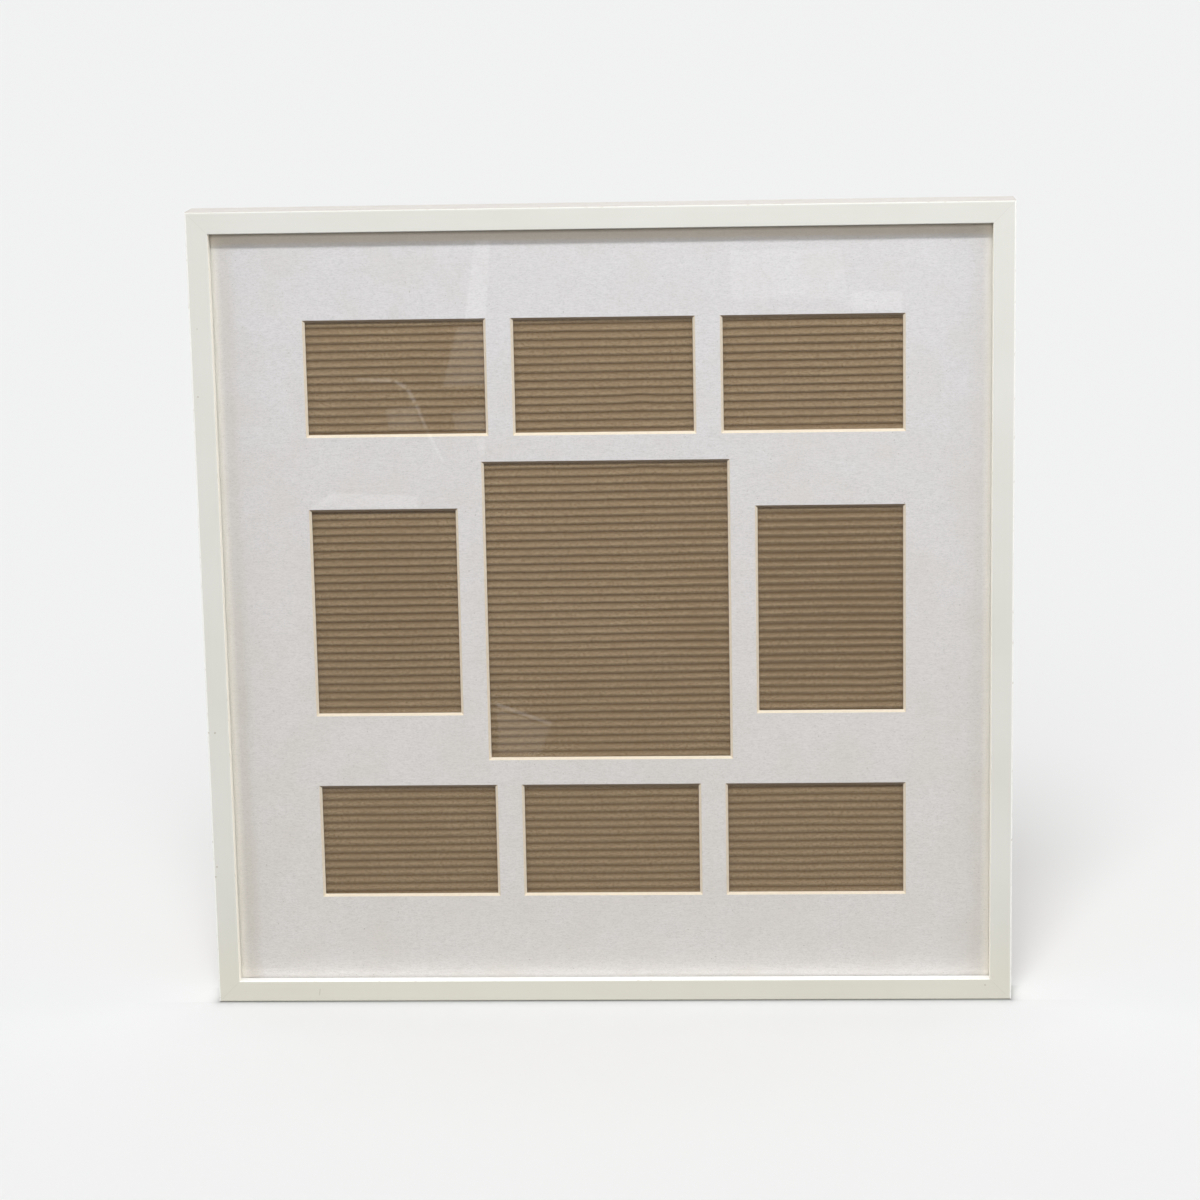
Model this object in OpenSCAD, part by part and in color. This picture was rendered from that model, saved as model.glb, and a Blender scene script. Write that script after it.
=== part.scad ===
// Square collage photo frame with a nine-window mat.
// X runs left to right, the front faces -Y, Z is up. The origin is the middle of the bottom face.

/* [Frame moulding] */
// Outer width of the frame
outer_w = 660; // [640:5:800]
// Outer height of the frame
outer_h = 660; // [640:5:800]
// Width of the flat front face of the moulding
face_w = 18; // [14:0.5:30]
// Depth of the moulding, front to back
frame_d = 35; // [28:0.5:50]
// Depth of the lip in front of the glazing
lip_d = 9; // [5:0.5:12]
// How far the lip covers the edge of the glazing
ledge_w = 5; // [3:0.5:6]
// Radius of the eased front edges
arris_r = 0.8; // [0.3:0.1:2]

/* [Glazing, mat and boards] */
// Play of each flat sheet in the pocket, side to side and up and down
pocket_play = 1; // [0.4:0.1:2]
// Thickness of the glazing sheet
glass_t = 2; // [1.5:0.5:3]
// Thickness of the window mat
mat_t = 2; // [1.2:0.1:3]
// Thickness of the liner paper behind the corrugated ribs
liner_t = 1.2; // [0.5:0.1:2]
// Depth of the valleys between the ribs
rib_h = 1.9; // [1:0.1:3]
// Distance from one rib to the next
rib_pitch = 6.55; // [5:0.05:9]
// Height of the first valley above the bottom edge of the sheet
rib_start = -4.2; // [-5:0.1:0]
// Width of the spacer strips, measured across the face
spacer_w = 10; // [6:1:20]
// Thickness of the backing board
backing_t = 3; // [2:0.5:4]
// How far the backing board lies below the back of the moulding
backing_inset = 0.3; // [0.1:0.1:1]

/* [Mat windows] */
// Width of the landscape windows in the top and bottom rows
small_w = 144; // [120:1:160]
// Height of the landscape windows
small_h = 91.5; // [70:0.5:110]
// Width of the portrait windows beside the centre
side_w = 117.5; // [90:0.5:130]
// Height of the portrait windows
side_h = 169; // [130:1:220]
// Width of the centre window
centre_w = 197; // [150:1:220]
// Height of the centre window
centre_h = 245.5; // [190:0.5:270]
// Strip of mat between neighbours in a row
gap_x = 24; // [12:0.5:32]
// Strip of mat between the rows
gap_z = 25; // [12:0.5:32]
// How far the windows sit to the right of the middle of the mat
window_shift = 1.5; // [-3:0.5:3]

/* [Turn buttons] */
// Length of a turn button
button_l = 22; // [18:1:26]
// Width of a turn button
button_w = 8; // [6:0.5:10]
// Thickness of a turn button
button_t = 1.2; // [0.8:0.1:2]
// Height of the stiffening rib pressed into a turn button
button_rib_h = 0.4; // [0.2:0.1:0.8]
// Distance of the turn buttons from the middle of each side
button_offset = 165; // [140:5:190]
// Clearance above and below a turn button on its screw
button_lift = 0.15; // [0.1:0.05:0.3]
// Radial clearance of a turn button on its screw
button_fit = 0.08; // [0.04:0.01:0.1]

/* [Screws, nails and bumpers] */
// Diameter of the screw shanks
screw_d = 3; // [2.5:0.1:3.5]
// Length of a screw below its head
screw_l = 12; // [9:1:16]
// Diameter of the screw heads
screw_head_d = 5.6; // [5:0.1:6.5]
// Height of the screw heads
screw_head_h = 1.7; // [1.2:0.1:2.5]
// Radial clearance of the pilot holes round the screws
pilot_fit = 0.05; // [0.02:0.01:0.1]
// Leg of a corner nail
nail_leg = 4; // [3:0.5:5]
// Thickness of a corner nail
nail_t = 0.8; // [0.5:0.1:1.2]
// Length of a corner nail into the moulding
nail_l = 12; // [8:1:18]
// Diameter of a wall bumper
bumper_d = 9.5; // [7:0.5:10.5]
// Height of a wall bumper
bumper_h = 5; // [4.5:0.1:7]
// Distance of the wall bumpers from the outer corners
bumper_from_corner = 28; // [20:1:60]

/* [Hangers] */
// Height of the hanger eyes above the bottom of the frame
hanger_height = 440; // [400:5:470]
// Width of a hanger strap
strap_w = 8; // [6:0.5:9]
// Length of a hanger strap below its eye
strap_l = 29; // [27:1:34]
// Thickness of the strap steel
strap_t = 0.9; // [0.6:0.1:1]
// Distance from the eye to the first strap screw
strap_screw_1 = 15.5; // [15:0.5:17]
// Distance between the two screws of a strap
strap_screw_pitch = 9; // [8:0.5:10]
// Diameter of the ring wire
wire_d = 2; // [1.6:0.1:2.2]
// Radial clearance of the ring wire in the eye
eye_fit = 0.08; // [0.04:0.01:0.1]
// Side play of the ring on the eye
ring_play = 0.3; // [0.2:0.1:0.6]
// Straight leg of the ring between the eye and the bow
ring_leg = 5; // [4:0.5:6]

/* [Hidden] */
$fn = 32;

// Overrun of every cutter past the face that it cuts
cut_over = 1;

// Places along Y, front to back
y_front = -frame_d / 2;
y_glass = y_front + lip_d;
y_mat = y_glass + glass_t;
y_ribs = y_mat + mat_t;
y_liner = y_ribs + rib_h;
y_spacer = y_liner + liner_t;
y_back = y_front + frame_d;
y_backing = y_back - backing_inset - backing_t;
y_button = y_back + button_lift;
y_button_head = y_button + button_t + button_lift;
y_strap_head = y_back + strap_t;

// The wall of the moulding behind the lip, and the pocket that it leaves
wall_w = face_w - ledge_w;
wall_mid = wall_w / 2;
sheet_w = outer_w - 2 * wall_w - pocket_play;
sheet_h = outer_h - 2 * wall_w - pocket_play;
sheet_mid_z = wall_w + sheet_h / 2;

// Places of the windows, measured from the middle of the group
small_x = small_w + gap_x;
side_x = (centre_w + side_w) / 2 + gap_x;
row_z = (centre_h + small_h) / 2 + gap_z;
WINDOWS = concat(
    [for (row = [1, -1], column = [-1, 0, 1]) [column * small_x, row * row_z, small_w, small_h]],
    [for (side = [-1, 1]) [side * side_x, 0, side_w, side_h]],
    [[0, 0, centre_w, centre_h]]);

// The ribs are arcs that would meet a little below the flat bottoms of the valleys
rib_cusp = rib_h + 0.15;
rib_r = (rib_cusp * rib_cusp + rib_pitch * rib_pitch / 4) / (2 * rib_cusp);
rib_count = ceil(sheet_h / rib_pitch) + 1;

// Turn buttons: place in X and Z, and the turn from pointing up to pointing at the backing board
BUTTONS = [
    [-button_offset, outer_h - wall_mid, 180],
    [button_offset, outer_h - wall_mid, 180],
    [-button_offset, wall_mid, 0],
    [button_offset, wall_mid, 0],
    [-outer_w / 2 + wall_mid, outer_h / 2 + button_offset, 90],
    [-outer_w / 2 + wall_mid, outer_h / 2 - button_offset, 90],
    [outer_w / 2 - wall_mid, outer_h / 2 + button_offset, -90],
    [outer_w / 2 - wall_mid, outer_h / 2 - button_offset, -90]];

// Hangers: the eye stands off the moulding, so that the ring swings clear of the strap
hanger_x = outer_w / 2 - wall_mid;
eye_bore_r = wire_d / 2 + eye_fit;
eye_r = eye_bore_r + strap_t;
eye_off = eye_r + 0.25;
y_eye = y_back + eye_off;
bow_r = strap_w / 2 + ring_play + wire_d / 2;
STRAP_SCREWS = [for (side = [-1, 1], k = [0, 1])
    [side * hanger_x, hanger_height - strap_screw_1 - k * strap_screw_pitch]];

// Corner nails: two at each mitre, their corners on the mitre line
NAIL_STEPS = [wall_w * 0.22, wall_w * 0.56];

// A flat outline, drawn in X and Z, that fills y to y + thick
module slab(y, thick) {
    translate([0, y + thick, 0])
        rotate([90, 0, 0])
            linear_extrude(height = thick)
                children();
}

// A rectangle in X and Z, centred on x and z
module plate(x, z, w, h) {
    translate([x - w / 2, z - h / 2])
        square([w, h]);
}

// Section of the moulding: x runs inwards from the outer edge, y from the front to the back
module moulding_section() {
    translate([arris_r, 0])
        square([face_w - 2 * arris_r, lip_d]);
    translate([0, arris_r])
        square([face_w, lip_d - arris_r]);
    for (x = [arris_r, face_w - arris_r])
        translate([x, arris_r])
            circle(r = arris_r);
    translate([0, arris_r])
        square([wall_w, frame_d - arris_r]);
}

// One mitred length of moulding along X, its outer edge on z = 0 and its front on y_front
module moulding(length) {
    intersection() {
        translate([0, y_front, 0])
            rotate([0, -90, 0])
                linear_extrude(height = length, center = true)
                    moulding_section();
        slab(y_front - cut_over, frame_d + 2 * cut_over)
            polygon([[-length / 2, 0], [length / 2, 0],
                     [length / 2 - face_w, face_w], [face_w - length / 2, face_w]]);
    }
}

// Angle-section nail, corner on the mitre line, seen from the back of the bottom left corner
module nail_outline() {
    square([nail_leg, nail_t]);
    square([nail_t, nail_leg]);
}

// All eight corner nails, or with over the slots for them
module nails(over) {
    for (side = [-1, 1], end = [-1, 1], step = NAIL_STEPS)
        translate([side * (outer_w / 2 - step), 0, outer_h / 2 + end * (outer_h / 2 - step)])
            mirror([side > 0 ? 1 : 0, 0, 0])
                mirror([0, 0, end > 0 ? 1 : 0])
                    slab(y_back - nail_l, nail_l + over)
                        nail_outline();
}

// Pilot holes in the moulding for every screw
module pilot_holes() {
    for (place = concat([for (b = BUTTONS) [b[0], b[1]]], STRAP_SCREWS))
        translate([place[0], y_back + cut_over, place[1]])
            rotate([90, 0, 0])
                cylinder(d = screw_d + 2 * pilot_fit, h = screw_l + 2 * cut_over);
}

// A length of moulding put in place by its children, with the slots and holes cut in it
module drilled() {
    color("whitesmoke")
        difference() {
            children();
            nails(cut_over);
            pilot_holes();
        }
}

module top_rail() {
    drilled()
        translate([0, 0, outer_h])
            rotate([0, 180, 0])
                moulding(outer_w);
}

module bottom_rail() {
    drilled()
        moulding(outer_w);
}

module left_stile() {
    drilled()
        translate([-outer_w / 2, 0, outer_h / 2])
            rotate([0, 90, 0])
                moulding(outer_h);
}

module right_stile() {
    drilled()
        translate([outer_w / 2, 0, outer_h / 2])
            rotate([0, -90, 0])
                moulding(outer_h);
}

module corner_nails() {
    color("silver")
        nails(0);
}

module glazing_sheet() {
    color("lightcyan", 0.3)
        slab(y_glass, glass_t)
            plate(0, sheet_mid_z, sheet_w, sheet_h);
}

// A window cutter with 45 degree sides: w by h at the back of the mat, wider at its front
module bevelled_window(x, z, w, h) {
    y_cut = y_mat - cut_over;
    cut_d = mat_t + 2 * cut_over;
    front = mat_t + cut_over;
    translate([window_shift + x, 0, sheet_mid_z + z])
        intersection() {
            linear_extrude(height = 2 * h, center = true)
                polygon([[-w / 2 - front, y_cut], [w / 2 + front, y_cut],
                         [w / 2 - cut_over, y_cut + cut_d], [cut_over - w / 2, y_cut + cut_d]]);
            rotate([0, 90, 0])
                linear_extrude(height = 2 * w, center = true)
                    polygon([[-h / 2 - front, y_cut], [h / 2 + front, y_cut],
                             [h / 2 - cut_over, y_cut + cut_d], [cut_over - h / 2, y_cut + cut_d]]);
        }
}

module window_mat() {
    color("seashell")
        difference() {
            slab(y_mat, mat_t)
                plate(0, sheet_mid_z, sheet_w, sheet_h);
            for (w = WINDOWS)
                bevelled_window(w[0], w[1], w[2], w[3]);
        }
}

// Section of the corrugated sheet: x is its height, y its depth
module corrugated_section() {
    intersection() {
        for (i = [0:rib_count])
            translate([rib_start + (i + 0.5) * rib_pitch, y_ribs + rib_r])
                circle(r = rib_r, $fn = 96);
        translate([0, y_ribs])
            square([sheet_h, rib_h + liner_t / 2]);
    }
    translate([0, y_liner])
        square([sheet_h, liner_t]);
}

module corrugated_sheet() {
    color("tan")
        translate([0, 0, wall_w])
            rotate([0, -90, 0])
                linear_extrude(height = sheet_w, center = true)
                    corrugated_section();
}

// One spacer strip between the corrugated sheet and the backing board
module spacer(x, z, w, h) {
    color("burlywood")
        slab(y_spacer, y_backing - y_spacer)
            plate(x, z, w, h);
}

module top_spacer() {
    spacer(0, wall_w + sheet_h - spacer_w / 2, sheet_w, spacer_w);
}

module bottom_spacer() {
    spacer(0, wall_w + spacer_w / 2, sheet_w, spacer_w);
}

module left_spacer() {
    spacer((spacer_w - sheet_w) / 2, sheet_mid_z, spacer_w, sheet_h - 2 * spacer_w);
}

module right_spacer() {
    spacer((sheet_w - spacer_w) / 2, sheet_mid_z, spacer_w, sheet_h - 2 * spacer_w);
}

module backing_board() {
    color("peru")
        slab(y_backing, backing_t)
            plate(0, sheet_mid_z, sheet_w, sheet_h);
}

// Round-ended strip, from one end's centre at z1 to the other's at z2
module round_strip(w, z1, z2) {
    translate([-w / 2, z1])
        square([w, z2 - z1]);
    for (z = [z1, z2])
        translate([0, z])
            circle(d = w);
}

// Turn button number i, pointing at the backing board
module turn_button(i) {
    place = BUTTONS[i];
    tip = button_l - button_w;
    rib_w = button_w / 4;
    color("silver")
        translate([place[0], 0, place[1]])
            rotate([0, place[2], 0])
                difference() {
                    union() {
                        slab(y_button, button_t)
                            round_strip(button_w, 0, tip);
                        slab(y_button + button_t, button_rib_h)
                            round_strip(rib_w, screw_head_d / 2 + rib_w, tip);
                    }
                    translate([0, y_button + button_t + cut_over, 0])
                        rotate([90, 0, 0])
                            cylinder(d = screw_d + 2 * button_fit, h = button_t + 2 * cut_over);
                }
}

// Pan-head screw with a cross recess: the underside of the head on y, the shank towards the front
module screw(x, y, z) {
    slot_w = screw_head_d / 7;
    slot_l = screw_head_d * 0.6;
    slot_d = screw_head_h * 0.55;
    rim_h = screw_head_h * 0.4;
    crown_r = screw_head_d * 0.3;
    translate([x, y, z])
        rotate([-90, 0, 0])
            difference() {
                rotate_extrude()
                    polygon([[0, -screw_l], [screw_d / 6, -screw_l], [screw_d / 2, screw_d - screw_l],
                             [screw_d / 2, 0], [screw_head_d / 2, 0], [screw_head_d / 2, rim_h],
                             [crown_r, screw_head_h], [0, screw_head_h]]);
                for (turn = [0, 90])
                    rotate([0, 0, turn])
                        translate([-slot_l / 2, -slot_w / 2, screw_head_h - slot_d])
                            cube([slot_l, slot_w, slot_d + cut_over]);
            }
}

module button_screws() {
    color("gainsboro")
        for (b = BUTTONS)
            screw(b[0], y_button_head, b[1]);
}

// Strap hanger on one side: a plate with two screw holes and the rolled eye for the ring
module strap(side) {
    low_end = strap_w / 2 - strap_l;
    color("silver")
        difference() {
            union() {
                translate([side * hanger_x, 0, hanger_height])
                    slab(y_back, strap_t) {
                        translate([0, low_end])
                            circle(d = strap_w);
                        translate([-strap_w / 2, low_end])
                            square([strap_w, -low_end]);
                    }
                translate([side * hanger_x - strap_w / 2, y_eye, hanger_height])
                    rotate([0, 90, 0])
                        cylinder(r = eye_r, h = strap_w);
                translate([side * hanger_x - strap_w / 2, y_back, hanger_height - strap_t])
                    cube([strap_w, eye_off, strap_t]);
            }
            translate([side * hanger_x - strap_w / 2 - cut_over, y_eye, hanger_height])
                rotate([0, 90, 0])
                    cylinder(r = eye_bore_r, h = strap_w + 2 * cut_over);
            for (place = STRAP_SCREWS)
                translate([place[0], y_back + strap_t + cut_over, place[1]])
                    rotate([90, 0, 0])
                        cylinder(d = screw_d + 2 * pilot_fit, h = strap_t + 2 * cut_over);
        }
}

module left_strap() {
    strap(-1);
}

module right_strap() {
    strap(1);
}

// D-ring hanging from its eye
module ring(side) {
    color("lightgray")
        translate([side * hanger_x, y_eye, hanger_height]) {
            rotate([0, 90, 0])
                cylinder(d = wire_d, h = 2 * bow_r, center = true);
            for (end = [-1, 1])
                translate([end * bow_r, 0, 0]) {
                    sphere(d = wire_d);
                    translate([0, 0, -ring_leg])
                        cylinder(d = wire_d, h = ring_leg);
                }
            translate([0, 0, -ring_leg])
                rotate([90, 0, 0])
                    rotate([0, 0, 180])
                        rotate_extrude(angle = 180)
                            translate([bow_r, 0])
                                circle(d = wire_d);
        }
}

module left_ring() {
    ring(-1);
}

module right_ring() {
    ring(1);
}

module strap_screws() {
    color("gainsboro")
        for (place = STRAP_SCREWS)
            screw(place[0], y_strap_head, place[1]);
}

// Rubber bumpers with an eased rim, on the back of the bottom rail
module wall_bumpers() {
    ease = bumper_h / 4;
    color("dimgray")
        for (side = [-1, 1])
            translate([side * (outer_w / 2 - bumper_from_corner), y_back, wall_mid])
                rotate([-90, 0, 0])
                    rotate_extrude()
                        polygon([[0, 0], [bumper_d / 2, 0], [bumper_d / 2, bumper_h - ease],
                                 [bumper_d / 2 - ease, bumper_h], [0, bumper_h]]);
}

top_rail();
bottom_rail();
left_stile();
right_stile();
corner_nails();
glazing_sheet();
window_mat();
corrugated_sheet();
top_spacer();
bottom_spacer();
left_spacer();
right_spacer();
backing_board();
turn_button(0);  // button_top_left
turn_button(1);  // button_top_right
turn_button(2);  // button_bottom_left
turn_button(3);  // button_bottom_right
turn_button(4);  // button_left_upper
turn_button(5);  // button_left_lower
turn_button(6);  // button_right_upper
turn_button(7);  // button_right_lower
button_screws();
left_strap();
right_strap();
left_ring();
right_ring();
strap_screws();
wall_bumpers();
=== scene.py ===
"""Looks of a square collage photo frame.

Paint, glass, the window mat, the corrugated board behind it and the fittings on the back.
"""

import math

import bmesh
import bpy
from mathutils import Matrix, Vector, noise


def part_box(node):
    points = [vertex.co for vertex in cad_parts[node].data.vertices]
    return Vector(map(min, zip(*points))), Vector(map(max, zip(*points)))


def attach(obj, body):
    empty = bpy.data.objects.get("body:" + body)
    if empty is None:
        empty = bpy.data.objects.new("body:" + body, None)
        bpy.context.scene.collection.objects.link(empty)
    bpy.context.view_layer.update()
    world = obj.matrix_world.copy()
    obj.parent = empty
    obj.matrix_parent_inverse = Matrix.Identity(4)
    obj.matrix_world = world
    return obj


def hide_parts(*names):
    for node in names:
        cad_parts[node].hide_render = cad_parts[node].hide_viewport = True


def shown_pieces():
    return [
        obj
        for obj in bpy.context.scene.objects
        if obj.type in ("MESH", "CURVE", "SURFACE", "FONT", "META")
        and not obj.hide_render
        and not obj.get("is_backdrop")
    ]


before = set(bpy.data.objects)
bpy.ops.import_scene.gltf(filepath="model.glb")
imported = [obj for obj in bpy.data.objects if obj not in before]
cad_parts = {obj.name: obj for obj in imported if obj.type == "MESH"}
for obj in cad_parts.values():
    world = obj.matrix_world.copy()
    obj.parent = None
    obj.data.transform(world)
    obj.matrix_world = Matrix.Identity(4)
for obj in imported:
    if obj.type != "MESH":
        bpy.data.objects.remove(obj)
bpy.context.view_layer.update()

MM = 0.001
scene = bpy.context.scene
scene.view_settings.view_transform = "Standard"


# ---- Places and sizes, from the solids where a solid gives them ----

outer_low, outer_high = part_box("bottom_rail")[0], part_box("top_rail")[1]
glass_low, glass_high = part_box("glazing_sheet")
mat_low, mat_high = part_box("window_mat")
ribs_low, ribs_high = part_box("corrugated_sheet")

OUTER = outer_high.x - outer_low.x
MID_Z = (outer_low.z + outer_high.z) / 2
Y_FRONT = outer_low.y
Y_BACK = outer_high.y
FACE_W = 18 * MM
WALL_W = 13 * MM
# Edges of the opening that the lip leaves: half its width, and its top
LIP_X = OUTER / 2 - FACE_W
LIP_TOP_Z = outer_high.z - FACE_W
ARRIS_R = 0.8 * MM
OUTER_ARRIS_R = 1.5 * MM

# Openings of the mat at its back: middle x and z from the middle of the group, width, height
WINDOW_SHIFT = 1.5 * MM
WINDOWS = [
    (column * 168 * MM, row * 193.5 * MM, 144 * MM, 91.5 * MM)
    for row in (1, -1)
    for column in (-1, 0, 1)
]
WINDOWS += [(side * 181.25 * MM, 0, 117.5 * MM, 169 * MM) for side in (-1, 1)]
WINDOWS += [(0, 0, 197 * MM, 245.5 * MM)]

RIB_PITCH = 6.554 * MM
RIB_TILT = 0.006
VALLEY_Z = MID_Z - 1.2 * MM


# ---- Node helpers ----


def srgb(red, green, blue):
    """A colour written as 0 to 255 per channel, as the linear colour that a node takes."""
    linear = [
        c / 255 / 12.92 if c <= 10 else ((c / 255 + 0.055) / 1.055) ** 2.4
        for c in (red, green, blue)
    ]
    return (*linear, 1.0)


class Surface:
    """A material and the calls that build its nodes, with textures laid out in metres."""

    def __init__(self, name):
        self.material = bpy.data.materials.new(name)
        self.material.use_nodes = True
        self.tree = self.material.node_tree
        self.tree.nodes.clear()
        self.place = self.node("ShaderNodeTexCoord").outputs["Object"]

    def node(self, kind, inputs=(), **settings):
        made = self.tree.nodes.new(kind)
        for key, value in settings.items():
            setattr(made, key, value)
        for key, value in dict(inputs).items():
            if isinstance(value, bpy.types.NodeSocket):
                self.tree.links.new(value, made.inputs[key])
            else:
                made.inputs[key].default_value = value
        return made

    def math(self, operation, a, b=0.0, clamp=False):
        return self.node(
            "ShaderNodeMath", {0: a, 1: b}, operation=operation, use_clamp=clamp
        ).outputs[0]

    def parts(self, vector):
        """The x, y and z of a vector."""
        return self.node("ShaderNodeSeparateXYZ", {0: vector}).outputs

    def geometry(self, what):
        return self.node("ShaderNodeNewGeometry").outputs[what]

    def attribute(self, name):
        return self.node("ShaderNodeAttribute", attribute_name=name).outputs["Fac"]

    def stretched(self, stretch):
        return self.node(
            "ShaderNodeVectorMath", {0: self.place, 1: stretch}, operation="MULTIPLY"
        ).outputs[0]

    def noise(self, size, detail=2.0, stretch=(1, 1, 1), roughness=0.5, shift=0.0):
        """Noise whose features are about size metres across, divided by stretch along each axis."""
        where = self.node(
            "ShaderNodeVectorMath",
            {0: self.stretched(stretch), 1: (shift, shift, shift)},
            operation="ADD",
        ).outputs[0]
        return self.node(
            "ShaderNodeTexNoise",
            {"Vector": where, "Scale": 1 / size, "Detail": detail, "Roughness": roughness},
        ).outputs["Fac"]

    def steps(self, fac, *stops):
        """Maps fac through grey stops, each (position, value)."""
        ramp = self.node("ShaderNodeValToRGB", {"Fac": fac})
        elements = ramp.color_ramp.elements
        while len(elements) < len(stops):
            elements.new(0.5)
        for element, (position, value) in zip(elements, stops):
            element.position = position
            element.color = (value, value, value, 1)
        return ramp.outputs["Color"]

    def mix(self, fac, a, b, blend="MIX"):
        made = self.node("ShaderNodeMix", {"Factor": fac}, data_type="RGBA", blend_type=blend)
        for key, value in ((6, a), (7, b)):
            if isinstance(value, bpy.types.NodeSocket):
                self.tree.links.new(value, made.inputs[key])
            else:
                made.inputs[key].default_value = value
        return made.outputs[2]

    def spot(self, centre, radius, ragged=0.5):
        """1 inside a ragged spot, 0 outside: centre and radius in metres."""
        away = self.node(
            "ShaderNodeVectorMath", {0: self.place, 1: centre}, operation="DISTANCE"
        ).outputs["Value"]
        rough = self.math("MULTIPLY", self.noise(radius, 3.0), 2 * ragged * radius)
        edge = self.math("ADD", away, rough)
        return self.steps(
            self.math("DIVIDE", edge, 2 * radius * (1 + ragged)), (0.35, 1.0), (0.5, 0.0)
        )

    def bump(self, height, distance, strength=1.0, normal=None):
        inputs = {"Height": height, "Distance": distance, "Strength": strength}
        if normal is not None:
            inputs["Normal"] = normal
        return self.node("ShaderNodeBump", inputs).outputs["Normal"]

    def finish(self, shader):
        output = self.node("ShaderNodeOutputMaterial")
        self.tree.links.new(shader, output.inputs["Surface"])
        return self.material

    def principled(self, **inputs):
        named = {key.replace("_", " "): value for key, value in inputs.items()}
        return self.finish(self.node("ShaderNodeBsdfPrincipled", named).outputs[0])


# ---- Materials ----

# Small knocks in the paint, as the photograph shows them: place and radius
KNOCKS = [
    ((-0.3289, Y_FRONT, 0.2325), 0.8 * MM),
    ((-0.3236, Y_FRONT, 0.2324), 1.0 * MM),
    ((-0.3269, Y_FRONT, 0.1177), 0.9 * MM),
    ((-0.3284, Y_FRONT, 0.1091), 0.9 * MM),
    ((-0.3253, Y_FRONT, 0.5116), 0.8 * MM),
    ((-0.3236, Y_FRONT, 0.5666), 0.6 * MM),
    ((0.3083, Y_FRONT, 0.0128), 0.8 * MM),
    ((-0.3297, Y_FRONT + MM, 0.1393), 1.2 * MM),
    ((0.3297, Y_FRONT + MM, 0.2694), 1.2 * MM),
    ((0.3297, Y_FRONT + MM, 0.1372), 1.3 * MM),
    ((-0.3292, Y_FRONT + MM, 0.0185), 0.9 * MM),
    ((-0.3290, Y_FRONT + MM, 0.0040), 1.1 * MM),
    ((-0.3262, Y_FRONT + MM, 0.0012), 1.0 * MM),
    ((0.1400, Y_BACK, 0.6520), 2.0 * MM),
    ((-0.2100, Y_BACK, 0.0060), 2.4 * MM),
]
# A fine upright scratch on the bottom length: middle, half width and half height
SCRATCH = ((-0.2451, Y_FRONT, 0.0085), 0.25 * MM, 2.8 * MM)
SCRATCH_SLANT = 0.12
# Width of the strip at the outer side of a stile that holds its rounded edge, where a highlight is
# painted
RIM_HIGHLIGHT_W = 3 * MM


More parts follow.
